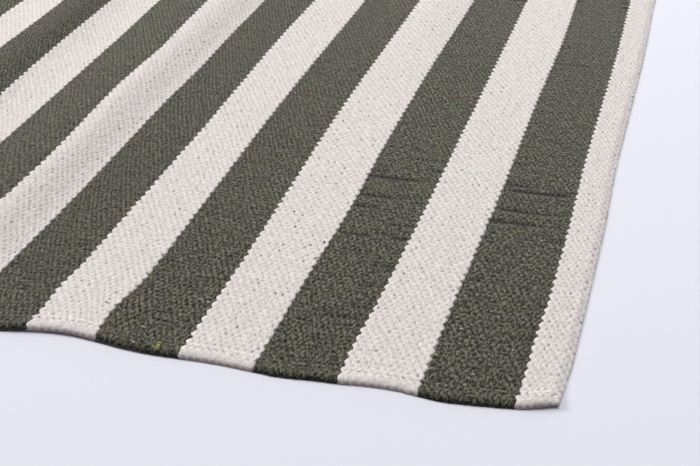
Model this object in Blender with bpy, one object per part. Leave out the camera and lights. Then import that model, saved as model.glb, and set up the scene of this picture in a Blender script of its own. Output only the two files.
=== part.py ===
"""A flat-woven cotton rug in broad stripes, hemmed at both ends, lying on a floor in a few long soft waves.

Run it with: blender --background --python part.py

Metres, +Z up. The origin is on the floor under the middle of the rug. +Y runs along the stripes, away from
the near hem, and +X runs across them, towards the right-hand selvedge.

The cloth is measured from its near right-hand corner: `across` is a distance from the right selvedge, and
`along` is a distance from the near hem. One open sheet is laid on the floor and over its waves, and then gets
its thickness upwards, so its underside is truly flat wherever it touches the floor.
"""

from collections import namedtuple
from math import pi, radians

import bmesh
import bpy
import numpy as np

# The cloth
DARK_STRIPES = 7
STRIPE_PITCH = 0.100
DARK_WIDTH = 0.053
LENGTH = 1.400
THICKNESS = 0.0025
CREAM_WIDTH = STRIPE_PITCH - DARK_WIDTH
SELVEDGE_WIDTH = CREAM_WIDTH / 2
WIDTH = DARK_STRIPES * STRIPE_PITCH

# The hem at each end: the cloth folded under once and sewn flat
HEM_DEPTH = 0.0105
HEM_THICKNESS = 0.0034
HEM_SLOPE = 0.0040
RIM_ROUND = 0.0009

# The hems in plan: they ripple with the stripes, and the near one bows back in its middle
HEM_RIPPLE = 0.0020
Bow = namedtuple("Bow", "across reach depth fades")
NEAR_HEM_BOWS = (
    Bow(0.303, 0.125, 0.0095, 0.250),
    Bow(0.142, 0.022, 0.0014, 0.050),
    Bow(0.066, 0.024, -0.0016, 0.050),
    Bow(0.000, 0.022, 0.0022, 0.050),
)

# How the cloth lies in plan: the waves draw it in, and its selvedges drift from the straight line
DRAWN_IN_FROM = 0.324
DRAWN_IN_TO = 0.576
DRAWN_IN_SHARE = 0.080
DRIFT_FADES = 0.090
Drift = namedtuple("Drift", "along leftwards")
SELVEDGE_DRIFT = (
    Drift(0.00, 0.0012),
    Drift(0.06, -0.0012),
    Drift(0.20, -0.0009),
    Drift(0.34, 0.0014),
    Drift(0.54, 0.0006),
    Drift(0.72, 0.0028),
    Drift(1.00, 0.0000),
    Drift(LENGTH, 0.0010),
)

# Where the cloth was pulled while it was laid, so that its stripes swing to one side
Pull = namedtuple("Pull", "across along reach_across reach_along leftwards")
PULLS = (
    Pull(0.030, 0.065, 0.040, 0.060, 0.0018),
    Pull(0.090, 0.040, 0.060, 0.260, 0.0034),
    Pull(0.130, 0.030, 0.050, 0.090, 0.0020),
    Pull(0.080, 0.580, 0.050, 0.160, -0.0018),
    Pull(0.175, 0.210, 0.050, 0.110, -0.0018),
    Pull(0.175, 0.740, 0.065, 0.300, -0.0038),
    Pull(0.240, 0.390, 0.075, 0.300, 0.0050),
    Pull(0.330, 0.520, 0.050, 0.220, 0.0028),
    Pull(0.410, 0.170, 0.080, 0.220, -0.0034),
    Pull(0.500, 0.550, 0.070, 0.300, 0.0050),
    Pull(0.530, 0.470, 0.045, 0.250, 0.0045),
    Pull(0.276, 0.030, 0.030, 0.050, 0.0042),
    Pull(0.323, 0.055, 0.025, 0.035, 0.0018),
    Pull(0.370, 0.440, 0.040, 0.090, -0.0014),
    Pull(0.420, 0.455, 0.045, 0.075, -0.0020),
    Pull(0.424, 0.240, 0.035, 0.130, -0.0024),
    Pull(0.455, 0.660, 0.060, 0.190, 0.0060),
    Pull(0.540, 0.640, 0.080, 0.160, 0.0040),
)

# The waves, a row for each. crest_near and crest_far are the crest's distance across, at the near and at the
# far hem. right and left are how far the wave reaches on each side of its crest. It grows from `begins` to
# `full`, holds its height to `fades` and is gone at `ends`, all measured along.
Wave = namedtuple("Wave", "crest_near crest_far right left begins full fades ends height")
WAVES = (
    Wave(0.420, 0.408, 0.043, 0.080, -0.45, 0.35, 0.80, 1.150, 0.0090),
    Wave(0.560, 0.536, 0.048, 0.080, -0.35, 0.40, 0.75, 1.100, 0.0070),
    Wave(0.205, 0.205, 0.040, 0.060, 0.38, 0.68, 0.80, 1.050, 0.0030),
    Wave(0.300, 0.300, 0.110, 0.110, -0.30, -0.05, 0.00, 0.090, 0.0012),
    Wave(0.000, 0.000, 0.030, 0.030, -0.30, -0.05, 0.00, 0.035, 0.0014),
    Wave(0.430, 0.430, 0.120, 0.140, 1.28, 1.40, 1.50, 1.600, 0.0035),
)
FLAT_BELOW = 0.0001

# The mesh: faces across each stripe, and rows along the cloth
DARK_FACES = 5
CREAM_FACES = 4
SELVEDGE_FACES = 2
ROW_PITCH = 0.045
RIM_BAND = 0.0022

CREAM_COTTON = (0.68, 0.63, 0.59)
DARK_COTTON = (0.075, 0.076, 0.056)
COTTON_ROUGHNESS = 0.92


def clear_scene():
    for obj in list(bpy.data.objects):
        bpy.data.objects.remove(obj, do_unlink=True)


def smooth_step(value, low, high):
    """0 below low, 1 above high, and the cubic 3x^2 - 2x^3 between them."""
    share = np.clip((value - low) / (high - low), 0.0, 1.0)
    return share * share * (3.0 - 2.0 * share)


def hump(offset):
    """A raised cosine: 1 at offset 0, and 0 from offset 1 on."""
    return 0.5 + 0.5 * np.cos(pi * np.minimum(np.abs(offset), 1.0))


def wave_height(wave, across, along):
    """A hump across the wave, times its rise and fall along the cloth."""
    crest = wave.crest_near + (wave.crest_far - wave.crest_near) * along / LENGTH
    offset = across - crest
    shape = hump(offset / np.where(offset > 0.0, wave.left, wave.right))
    rise = smooth_step(along, wave.begins, wave.full)
    fall = 1.0 - smooth_step(along, wave.fades, wave.ends)
    return wave.height * shape * rise * fall


def underside_height(across, along):
    """The waves together, but flat on the floor wherever they would lift the cloth by next to nothing."""
    height = sum(wave_height(wave, across, along) for wave in WAVES)
    return np.where(height < FLAT_BELOW, 0.0, height)


def eased_drift(along):
    """The selvedge's drift, eased with smooth_step from each place in the table to the next."""
    places = np.array([row.along for row in SELVEDGE_DRIFT])
    values = np.array([row.leftwards for row in SELVEDGE_DRIFT])
    index = np.clip(np.searchsorted(places, along, side="right") - 1, 0, len(places) - 2)
    share = smooth_step(along, places[index], places[index + 1])
    return values[index] + share * (values[index + 1] - values[index])


def selvedge_drift(across, along):
    """The right selvedge's drift, fading inwards, and the left one's, which is the same from the far end."""
    right = eased_drift(along) * (1.0 - smooth_step(across, 0.0, DRIFT_FADES))
    left = eased_drift(LENGTH - along) * smooth_step(across, WIDTH - DRIFT_FADES, WIDTH)
    return right + left


def pulled(across, along):
    """The sum of the pulls, each a hump across times a hump along."""
    return sum(
        pull.leftwards
        * hump((across - pull.across) / pull.reach_across)
        * hump((along - pull.along) / pull.reach_along)
        for pull in PULLS
    )


def drawn_in(across):
    return DRAWN_IN_SHARE * (np.clip(across, DRAWN_IN_FROM, DRAWN_IN_TO) - DRAWN_IN_FROM)


def hem_shift(across, along):
    """A cosine with the stripes' pitch, gone by the middle of the cloth, and the near hem's own bows."""
    ripple = HEM_RIPPLE * np.cos(2.0 * pi * across / STRIPE_PITCH) * (1.0 - 2.0 * along / LENGTH)
    bows = sum(
        bow.depth * hump((across - bow.across) / bow.reach) * (1.0 - smooth_step(along, 0.0, bow.fades))
        for bow in NEAR_HEM_BOWS
    )
    return ripple + bows


def cloth_point(across, along):
    """Where a point of the cloth's underside lies, before the whole rug is centred."""
    leftwards = across - drawn_in(across) + selvedge_drift(across, along) + pulled(across, along)
    return np.stack([-leftwards, along + hem_shift(across, along), underside_height(across, along)], axis=-1)


def stripe_lines():
    """The mesh lines across the cloth, and for each strip between two of them whether it is dark."""
    stripes = [(SELVEDGE_WIDTH, SELVEDGE_FACES, False)]
    for number in range(DARK_STRIPES):
        stripes.append((DARK_WIDTH, DARK_FACES, True))
        is_last = number == DARK_STRIPES - 1
        cream = (SELVEDGE_WIDTH, SELVEDGE_FACES, False) if is_last else (CREAM_WIDTH, CREAM_FACES, False)
        stripes.append(cream)
    lines = [0.0]
    dark = []
    for width, faces, is_dark in stripes:
        start = lines[-1]
        lines += [start + width * step / faces for step in range(1, faces + 1)]
        dark += [is_dark] * faces
    return np.array(lines), dark


def row_lines():
    """The mesh lines along the cloth: close together at each hem, evenly spaced between them."""
    hem = [0.0, RIM_BAND, HEM_DEPTH, HEM_DEPTH + HEM_SLOPE]
    middle = np.linspace(hem[-1], LENGTH - hem[-1], round((LENGTH - 2 * hem[-1]) / ROW_PITCH) + 1)
    far_hem = [LENGTH - line for line in reversed(hem)]
    return np.array(hem[:-1] + list(middle) + far_hem[1:])


def thickness_share(along):
    """The cloth's thickness as a share of the hem's, which is its most."""
    from_end = min(along, LENGTH - along)
    slope = float(smooth_step(from_end, HEM_DEPTH, HEM_DEPTH + HEM_SLOPE))
    return 1.0 - slope * (1.0 - THICKNESS / HEM_THICKNESS)


def cotton(name, colour):
    material = bpy.data.materials.new(name)
    material.use_nodes = True
    shader = material.node_tree.nodes["Principled BSDF"]
    shader.inputs["Base Color"].default_value = (*colour, 1.0)
    shader.inputs["Roughness"].default_value = COTTON_ROUGHNESS
    shader.inputs["Metallic"].default_value = 0.0
    return material


def centred(points):
    """The points with the middle of their extent moved over the origin, and their lowest on the floor."""
    low, high = points.min(axis=(0, 1)), points.max(axis=(0, 1))
    return points - np.array([(low[0] + high[0]) / 2, (low[1] + high[1]) / 2, low[2]])


def make_rug():
    lines, dark = stripe_lines()
    rows = row_lines()
    across, along = np.meshgrid(lines, rows)
    points = centred(cloth_point(across, along))

    sheet = bmesh.new()
    grid = [[sheet.verts.new(point) for point in row] for row in points]
    for near, far in zip(grid, grid[1:]):
        for index, is_dark in enumerate(dark):
            face = sheet.faces.new((near[index + 1], near[index], far[index], far[index + 1]))
            face.material_index = int(is_dark)
            face.smooth = True

    mesh = bpy.data.meshes.new("rug")
    sheet.to_mesh(mesh)
    sheet.free()
    mesh.materials.append(cotton("cream_cotton", CREAM_COTTON))
    mesh.materials.append(cotton("dark_cotton", DARK_COTTON))
    rug = bpy.data.objects.new("rug", mesh)
    bpy.context.collection.objects.link(rug)

    group = rug.vertex_groups.new(name="thickness")
    for row_index, row_along in enumerate(rows):
        first = row_index * len(lines)
        group.add(range(first, first + len(lines)), thickness_share(row_along), "REPLACE")
    return rug


def thicken(rug):
    """Gives the sheet its thickness upwards, with the hems thicker, and rounds its rim."""
    solidify = rug.modifiers.new("thickness", "SOLIDIFY")
    solidify.thickness = HEM_THICKNESS
    solidify.offset = 1.0
    solidify.use_even_offset = True
    solidify.vertex_group = "thickness"
    rim = rug.modifiers.new("rim", "BEVEL")
    rim.width = RIM_ROUND
    rim.segments = 2
    rim.limit_method = "ANGLE"
    rim.angle_limit = radians(60)


clear_scene()
thicken(make_rug())
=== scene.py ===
# %% [markdown]
# A striped flat-woven rug
#
# The rug is one thick cotton cloth, woven in broad dark and cream stripes and hemmed at both ends. The
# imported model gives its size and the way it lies, as one smooth solid. This lesson replaces that solid
# with the cloth itself: every yarn that shows is a row of short raised floats, as on the loom, and all of
# it is worked out with numpy from a few sizes. The camera and the light come first, because they show
# whether the rest is right.

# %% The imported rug
from collections import namedtuple
from math import pi, radians

import bpy
import numpy as np
from mathutils import Matrix, Vector


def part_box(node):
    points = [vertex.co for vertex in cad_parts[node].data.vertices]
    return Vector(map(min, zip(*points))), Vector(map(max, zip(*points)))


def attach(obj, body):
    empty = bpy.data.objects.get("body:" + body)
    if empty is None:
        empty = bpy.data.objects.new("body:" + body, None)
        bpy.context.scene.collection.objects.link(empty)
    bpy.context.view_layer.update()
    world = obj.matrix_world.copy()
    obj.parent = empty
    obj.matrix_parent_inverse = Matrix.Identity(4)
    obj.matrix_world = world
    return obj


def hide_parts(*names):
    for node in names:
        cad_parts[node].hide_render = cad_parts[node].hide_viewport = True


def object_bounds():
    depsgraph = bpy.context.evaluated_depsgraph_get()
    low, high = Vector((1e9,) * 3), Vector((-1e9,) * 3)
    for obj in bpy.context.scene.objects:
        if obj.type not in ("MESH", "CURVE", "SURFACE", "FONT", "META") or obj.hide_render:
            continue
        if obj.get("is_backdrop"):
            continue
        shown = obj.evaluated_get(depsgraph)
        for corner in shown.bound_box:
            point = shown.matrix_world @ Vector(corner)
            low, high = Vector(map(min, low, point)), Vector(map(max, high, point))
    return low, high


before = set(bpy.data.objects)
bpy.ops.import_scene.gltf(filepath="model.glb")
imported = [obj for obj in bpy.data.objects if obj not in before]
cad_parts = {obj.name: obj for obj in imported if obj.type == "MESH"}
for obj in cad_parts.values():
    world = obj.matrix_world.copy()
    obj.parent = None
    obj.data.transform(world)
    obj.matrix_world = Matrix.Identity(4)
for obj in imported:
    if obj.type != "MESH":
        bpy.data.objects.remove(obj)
cad_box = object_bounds()
cad_low, cad_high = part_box("rug")
print("the packed rug measures", [round(side, 4) for side in cad_high - cad_low], "m")

# %% [markdown]
# The cloth is measured from its near right-hand corner: `across` is a distance from the right selvedge
# and `along` a distance from the near hem, both on the cloth. The sizes below repeat those of the packed
# model, so that the woven cloth takes the same place.

# %% Sizes of the cloth
DARK_STRIPES = 7
STRIPE_PITCH = 0.100
DARK_WIDTH = 0.053
CREAM_WIDTH = STRIPE_PITCH - DARK_WIDTH
SELVEDGE_WIDTH = CREAM_WIDTH / 2
WIDTH = DARK_STRIPES * STRIPE_PITCH
LENGTH = 1.400
THICKNESS = 0.0025
HEM_DEPTH = 0.0105
HEM_THICKNESS = 0.0034
HEM_SLOPE = 0.0040
HEM_RIPPLE = 0.0020
Bow = namedtuple("Bow", "across reach depth fades")
NEAR_HEM_BOWS = (
    Bow(0.303, 0.125, 0.0095, 0.250),
    Bow(0.142, 0.022, 0.0014, 0.050),
    Bow(0.066, 0.024, -0.0016, 0.050),
    Bow(0.000, 0.022, 0.0022, 0.050),
    Bow(0.000, 0.028, 0.0016, 0.030),
)

# %% [markdown]
# A cloth on a floor never lies quite flat or straight. Two long waves run through the left half, a few
# lower ones lift parts of the hems, and the selvedges and the stripes wander by a few millimetres. Each
# of these is a row in a short table, and one smooth function turns each row into a shape. A cloth
# simulation could make waves too, but not these ones in these places.

# %% Waves of the cloth
Wave = namedtuple("Wave", "crest_near crest_far right left begins full fades ends height")
WAVES = (
    Wave(0.420, 0.408, 0.043, 0.080, -0.45, 0.35, 0.80, 1.150, 0.0090),
    Wave(0.560, 0.536, 0.048, 0.080, -0.35, 0.40, 0.75, 1.100, 0.0070),
    Wave(0.205, 0.205, 0.040, 0.060, 0.38, 0.68, 0.80, 1.050, 0.0030),
    Wave(0.300, 0.300, 0.110, 0.110, -0.30, -0.05, 0.00, 0.090, 0.0012),
    Wave(0.000, 0.000, 0.030, 0.030, -0.30, -0.05, 0.00, 0.035, 0.0014),
    Wave(0.430, 0.430, 0.120, 0.140, 1.28, 1.40, 1.50, 1.600, 0.0035),
)


def smooth_step(value, low, high):
    """0 below low, 1 above high, and the cubic 3x^2 - 2x^3 between them."""
    share = np.clip((value - low) / (high - low), 0.0, 1.0)
    return share * share * (3.0 - 2.0 * share)


def hump(offset):
    """A raised cosine: 1 at offset 0, and 0 from offset 1 on."""
    return 0.5 + 0.5 * np.cos(pi * np.minimum(np.abs(offset), 1.0))


def wave_height(wave, across, along):
    """A hump across the wave, times its rise and fall along the cloth."""
    crest = wave.crest_near + (wave.crest_far - wave.crest_near) * along / LENGTH
    offset = across - crest
    shape = hump(offset / np.where(offset > 0.0, wave.left, wave.right))
    rise = smooth_step(along, wave.begins, wave.full)
    fall = 1.0 - smooth_step(along, wave.fades, wave.ends)
    return wave.height * shape * rise * fall


def underside_height(across, along):
    return sum(wave_height(wave, across, along) for wave in WAVES)


print("the highest wave lifts the cloth by", 1000 * max(wave.height for wave in WAVES), "mm")

# %% [markdown]
# In plan, the waves draw the left half in. The selvedges drift from the straight line, and where the
# cloth was pulled while it was laid, the stripes swing to one side. The hems draw back a little between
# the dark stripes, whose yarn is looser, and the near hem is drawn back furthest in its middle and a
# little at its corner.

# %% Plan of the cloth
DRAWN_IN_FROM = 0.324
DRAWN_IN_TO = 0.576
DRAWN_IN_SHARE = 0.080
DRIFT_FADES = 0.090
Drift = namedtuple("Drift", "along leftwards")
SELVEDGE_DRIFT = (
    Drift(0.00, 0.0012),
    Drift(0.06, -0.0012),
    Drift(0.20, -0.0009),
    Drift(0.34, 0.0014),
    Drift(0.54, 0.0006),
    Drift(0.72, 0.0028),
    Drift(1.00, 0.0000),
    Drift(LENGTH, 0.0010),
)
Pull = namedtuple("Pull", "across along reach_across reach_along leftwards")
PULLS = (
    Pull(0.030, 0.065, 0.040, 0.060, 0.0018),
    Pull(0.090, 0.040, 0.060, 0.260, 0.0034),
    Pull(0.130, 0.030, 0.050, 0.090, 0.0020),
    Pull(0.080, 0.580, 0.050, 0.160, -0.0018),
    Pull(0.175, 0.210, 0.050, 0.110, -0.0018),
    Pull(0.175, 0.740, 0.065, 0.300, -0.0038),
    Pull(0.240, 0.390, 0.075, 0.300, 0.0050),
    Pull(0.330, 0.520, 0.050, 0.220, 0.0028),
    Pull(0.410, 0.170, 0.080, 0.220, -0.0034),
    Pull(0.500, 0.550, 0.070, 0.300, 0.0050),
    Pull(0.530, 0.470, 0.045, 0.250, 0.0045),
    Pull(0.276, 0.030, 0.030, 0.050, 0.0042),
    Pull(0.323, 0.055, 0.025, 0.035, 0.0018),
    Pull(0.370, 0.440, 0.040, 0.090, -0.0014),
    Pull(0.420, 0.455, 0.045, 0.075, -0.0020),
    Pull(0.424, 0.240, 0.035, 0.130, -0.0024),
    Pull(0.455, 0.660, 0.060, 0.190, 0.0060),
    Pull(0.540, 0.640, 0.080, 0.160, 0.0040),
)


def eased_drift(along):
    """The selvedge's drift, eased with smooth_step from each place in the table to the next."""
    places = np.array([row.along for row in SELVEDGE_DRIFT])
    values = np.array([row.leftwards for row in SELVEDGE_DRIFT])
    index = np.clip(np.searchsorted(places, along, side="right") - 1, 0, len(places) - 2)
    share = smooth_step(along, places[index], places[index + 1])
    return values[index] + share * (values[index + 1] - values[index])


def selvedge_drift(across, along):
    """The right selvedge's drift, fading inwards, and the left one's, the same from the far end."""
    right = eased_drift(along) * (1.0 - smooth_step(across, 0.0, DRIFT_FADES))
    left = eased_drift(LENGTH - along) * smooth_step(across, WIDTH - DRIFT_FADES, WIDTH)
    return right + left


def pulled(across, along):
    """The sum of the pulls, each a hump across times a hump along."""
    return sum(
        pull.leftwards
        * hump((across - pull.across) / pull.reach_across)
        * hump((along - pull.along) / pull.reach_along)
        for pull in PULLS
    )


def drawn_in(across):
    return DRAWN_IN_SHARE * (np.clip(across, DRAWN_IN_FROM, DRAWN_IN_TO) - DRAWN_IN_FROM)


def hem_shift(across, along):
    """A cosine with the stripes' pitch, gone by the middle of the cloth, and the near hem's own bows."""
    ripple = HEM_RIPPLE * np.cos(2.0 * pi * across / STRIPE_PITCH) * (1.0 - 2.0 * along / LENGTH)
    bows = sum(
        bow.depth * hump((across - bow.across) / bow.reach) * (1.0 - smooth_step(along, 0.0, bow.fades))
        for bow in NEAR_HEM_BOWS
    )
    return ripple + bows


def cloth_point(across, along):
    """Where a point of the cloth's underside lies, before the whole rug is centred."""
    leftwards = across - drawn_in(across) + selvedge_drift(across, along) + pulled(across, along)
    inwards = along + hem_shift(across, along)
    return np.stack([-leftwards, inwards, underside_height(across, along)], axis=-1)


PLAN_STEP = 0.005
plan_across = np.arange(0.0, WIDTH + PLAN_STEP, PLAN_STEP)
plan_along = np.arange(0.0, LENGTH, PLAN_STEP)
plan = cloth_point(*np.meshgrid(plan_across, plan_along))
right_edge = plan[..., 0].max()
CENTRING = np.array([cad_high.x - right_edge, cad_low.y - plan[..., 1].min(), 0.0])
print("the near right-hand corner lies at", np.round(cloth_point(0.0, 0.0) + CENTRING, 4))

# %% [markdown]
# The camera stands near the right-hand corner and looks down along the stripes, so they run away towards
# the upper right. Its place is measured from the same corner, which ties the view to the cloth.

# %% Camera
CAMERA_RIGHT_OF_SELVEDGE = 0.0612
CAMERA_BEFORE_HEM = 0.6565
CAMERA_HEIGHT = 0.4563
CAMERA_PITCH = radians(27.76)
CAMERA_HEADING = radians(15.23)
CAMERA_ROLL = radians(0.60)
CAMERA_LENS = 74.06

camera_data = bpy.data.cameras.new("camera")
camera_data.lens = CAMERA_LENS
camera = bpy.data.objects.new("camera", camera_data)
bpy.context.collection.objects.link(camera)
place = Matrix.Translation(
    (CENTRING[0] + CAMERA_RIGHT_OF_SELVEDGE, CENTRING[1] - CAMERA_BEFORE_HEM, CAMERA_HEIGHT)
)
heading = Matrix.Rotation(CAMERA_HEADING, 4, "Z")
pitch = Matrix.Rotation(pi / 2 - CAMERA_PITCH, 4, "X")
roll = Matrix.Rotation(-CAMERA_ROLL, 4, "Z")
camera.matrix_world = place @ heading @ pitch @ roll
bpy.context.scene.camera = camera
bpy.context.scene.view_settings.view_transform = "Standard"
print("the camera stands at", [round(value, 3) for value in camera.matrix_world.translation])

# %% [markdown]
# A window on the left shows the waves and the weave, a ceiling light fills the rest, and a low window
# beyond the rug lays a soft shadow before the hem. The world adds only a little, so the faces that look
# at the camera, such as the hem's front, stay dark.

# %% Light
Light = namedtuple("Light", "name place aim size power colour")
LIGHTS = (
    Light("window", (-5.0, 1.4, 2.9), (0.0, -0.3, 0.0), 2.6, 256.0, (1.0, 0.985, 0.965)),
    Light("ceiling", (0.5, 1.1, 4.4), (0.1, -0.5, 0.0), 3.4, 148.0, (0.97, 0.985, 1.0)),
    Light("far window", (0.6, 4.6, 1.1), (0.2, -0.6, 0.0), 2.0, 70.0, (0.98, 0.99, 1.0)),
)
WORLD_COLOUR = (0.93, 0.95, 1.0, 1.0)
WORLD_STRENGTH = 0.13


def add_light(light):
    data = bpy.data.lights.new(light.name, "AREA")
    data.shape = "SQUARE"
    data.size = light.size
    data.energy = light.power
    data.color = light.colour
    lamp = bpy.data.objects.new(light.name, data)
    bpy.context.collection.objects.link(lamp)
    lamp.location = light.place
    lamp.rotation_euler = (Vector(light.aim) - Vector(light.place)).to_track_quat("-Z", "Y").to_euler()


for light in LIGHTS:
    add_light(light)
world = bpy.data.worlds.new("studio")
world.use_nodes = True
world.node_tree.nodes["Background"].inputs["Color"].default_value = WORLD_COLOUR
world.node_tree.nodes["Background"].inputs["Strength"].default_value = WORLD_STRENGTH
bpy.context.scene.world = world
print("added", len(LIGHTS), "soft lights")

# %% [markdown]
# Shader nodes are easier to read as sums. This class wraps one output socket, so that arithmetic on it
# adds Math nodes, and every other node comes from its method `node`.

# %% Shader maths
class Wire:
    """An output socket in a material, or only the material's tree when it has no socket yet."""

    def __init__(self, tree, socket=None):
        self.tree = tree
        self.socket = socket

    def node(self, kind, settings=None, sockets=None, output=0):
        """A new node of this kind: its settings first, then its sockets' values or links."""
        made = self.tree.nodes.new(kind)
        for name, value in (settings or {}).items():
            setattr(made, name, value)
        for name, value in (sockets or {}).items():
            if isinstance(value, Wire):
                self.tree.links.new(value.socket, made.inputs[name])
            else:
                made.inputs[name].default_value = value
        return Wire(self.tree, made.outputs[output])

    def maths(self, operation, *values):
        return self.node("ShaderNodeMath", {"operation": operation}, dict(enumerate((self, *values))))

    def __add__(self, other):
        return self.maths("ADD", other)

    __radd__ = __add__

    def __sub__(self, other):
        return self.maths("SUBTRACT", other)

    def __rsub__(self, other):
        return (self * -1.0).maths("ADD", other)

    def __mul__(self, other):
        return self.maths("MULTIPLY", other)

    __rmul__ = __mul__

    def __truediv__(self, other):
        return self.maths("DIVIDE", other)

    def __pow__(self, other):
        return self.maths("POWER", other)

    def floor(self):
        return self.maths("FLOOR")

    def sine(self):
        return self.maths("SINE")

    def between(self, low, high):
        """0 below low, 1 above high, and a smooth S between them."""
        return self.node(
            "ShaderNodeMapRange",
            {"interpolation_type": "SMOOTHSTEP"},
            {"Value": self, "From Min": low, "From Max": high},
        )

    def luck(self):
        """A number from 0 to 1 that chance gives to this vector."""
        return self.node("ShaderNodeTexWhiteNoise", None, {"Vector": self}, "Value")

    def colour(self, rgba):
        made = self.node("ShaderNodeRGB")
        made.socket.default_value = rgba
        return made

    def combined(self, y, z):
        return self.node("ShaderNodeCombineXYZ", None, {0: self, 1: y, 2: z})

    def noise(self, scale, detail=2.0, roughness=0.5):
        sockets = {"Vector": self, "Scale": scale, "Detail": detail, "Roughness": roughness}
        return self.node("ShaderNodeTexNoise", None, sockets)

    def mixed(self, other, share):
        """This colour turned into another one by a share from 0 to 1."""
        return self.node("ShaderNodeMix", {"data_type": "RGBA"}, {0: share, 6: self, 7: other}, 2)

    def times(self, factor):
        """This colour made darker or lighter by a factor."""
        return self.node("ShaderNodeVectorMath", {"operation": "SCALE"}, {0: self, "Scale": factor})

    def bump(self, strength):
        """The normal of a surface that this height, in metres, roughens."""
        sockets = {"Height": self, "Distance": 1.0, "Strength": strength}
        return self.node("ShaderNodeBump", None, sockets, "Normal")


SPECULAR_LEVEL = 0.25


def new_material(name, roughness, sheen=0.0, sheen_roughness=0.5, sheen_tint=(1.0, 1.0, 1.0)):
    """A material with a plain shader, and a wire that holds its tree."""
    material = bpy.data.materials.new(name)
    material.use_nodes = True
    shader = material.node_tree.nodes["Principled BSDF"]
    shader.inputs["Roughness"].default_value = roughness
    shader.inputs["Specular IOR Level"].default_value = SPECULAR_LEVEL
    shader.inputs["Sheen Weight"].default_value = sheen
    shader.inputs["Sheen Roughness"].default_value = sheen_roughness
    shader.inputs["Sheen Tint"].default_value = (*sheen_tint, 1.0)
    return material, shader, Wire(material.node_tree)


def plug(wire, shader, socket):
    wire.tree.links.new(wire.socket, shader.inputs[socket])


print("shader maths is ready")

# %% [markdown]
# The floor is a plain pale sheet of paper, large enough to fill every view. It gives the rug its soft
# contact shadow and throws light back up at the hem.

# %% Floor
FLOOR_SIZE = 14.0
FLOOR_COLOUR = (0.83, 0.825, 0.90, 1.0)

floor_mesh = bpy.data.meshes.new("floor")
half = FLOOR_SIZE / 2
floor_corners = [(-half, -half, 0), (half, -half, 0), (half, half, 0), (-half, half, 0)]
floor_mesh.from_pydata(floor_corners, [], [(0, 1, 2, 3)])
floor = bpy.data.objects.new("floor", floor_mesh)
bpy.context.collection.objects.link(floor)
floor_material, floor_shader, floor_tree = new_material("floor_paper", 0.9)
floor_shader.inputs["Base Color"].default_value = FLOOR_COLOUR
floor_mesh.materials.append(floor_material)
floor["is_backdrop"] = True
print("the floor is", FLOOR_SIZE, "m wide")

# %% [markdown]
# The weave
#
# This is a warp-faced weave. The yarns that show run along the rug and hide the weft that they cross.
# Each one passes over a weft pick as a float, then dips under the next one, and its neighbours do the
# opposite, so the floats lie like bricks in a wall. One column of floats is one warp yarn. One repeat is
# two picks.

# %% Yarn counts
DARK_COLUMNS = 27
CREAM_COLUMNS = 20
SELVEDGE_COLUMNS = 12
REPEAT_WANTED = 0.0090
CURL_RADIUS = HEM_THICKNESS / 2
CURL_REACH = 0.0040
CURL_LENGTH = pi * np.hypot(CURL_RADIUS, CURL_REACH) / 2**0.5
PATH_LENGTH = 2 * CURL_LENGTH + LENGTH - 2 * CURL_REACH
REPEATS = round(PATH_LENGTH / REPEAT_WANTED)
REPEAT = PATH_LENGTH / REPEATS

Band = namedtuple("Band", "name slot width columns")


def band_list():
    """The bands of the cloth from the right selvedge to the left one."""
    bands = [Band("right_selvedge_band", "cream_cotton", SELVEDGE_WIDTH, SELVEDGE_COLUMNS)]
    for number in range(1, DARK_STRIPES + 1):
        bands.append(Band(f"dark_band_{number}", "dark_cotton", DARK_WIDTH, DARK_COLUMNS))
        if number < DARK_STRIPES:
            bands.append(Band(f"cream_band_{number}", "cream_cotton", CREAM_WIDTH, CREAM_COLUMNS))
    bands.append(Band("left_selvedge_band", "cream_cotton", SELVEDGE_WIDTH, SELVEDGE_COLUMNS))
    return bands


BANDS = band_list()
COLUMNS = sum(band.columns for band in BANDS)
print(COLUMNS, "yarns across,", REPEATS, "repeats of", round(1000 * REPEAT, 2), "mm along")

# %% [markdown]
# No two hand-spun yarns are alike. A seeded generator draws, once and for all, how wide each yarn is and
# how high, wide and far to the side each float stands. Here and there the weaver beat a pick in more
# loosely, which leaves a faint rib across a stripe: the rib sinks a little, and shade is painted along it.
# The ribs show best on the two dark stripes at the right, and a table gives the few that stand out there.

# %% Uneven yarns
rng = np.random.default_rng(20)
YARN_WIDTH_SPREAD = 0.09
FLOAT_WIDTH_SPREAD = 0.20
FLOAT_HEIGHT_SPREAD = 0.00012
FLOAT_SIDE_SPREAD = 0.00014
Rib = namedtuple("Rib", "across reach along looseness")
RIBS = (
    Rib(0.1640, 0.018, 0.1764, 1.3),
    Rib(0.1440, 0.013, 0.1815, 1.4),
    Rib(0.1290, 0.012, 0.1756, 1.6),
    Rib(0.1540, 0.018, 0.1535, 0.6),
    Rib(0.0730, 0.014, 0.2150, 0.9),
    Rib(0.0550, 0.018, 0.2185, 0.7),
    Rib(0.0710, 0.012, 0.1335, 0.8),
)
RIB_REACH = 0.0026
RIB_SHARE = 0.12
RIB_WAVE_LENGTH = 0.11
RIB_OVERLAP = 0.3
WEAKEST_RIB = 0.4
RIBBED_BANDS = [1, 3]
RIB_ON_DARK = 0.35
RIB_ON_CREAM = 0.15


def yarn_edges():
    """The distance across of every edge between two yarns, with each band's widths adding up to its own."""
    edges = [0.0]
    for band in BANDS:
        widths = 1.0 + YARN_WIDTH_SPREAD * rng.standard_normal(band.columns)
        edges.extend(edges[-1] + band.width * np.cumsum(widths) / widths.sum())
    return np.array(edges)


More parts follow.
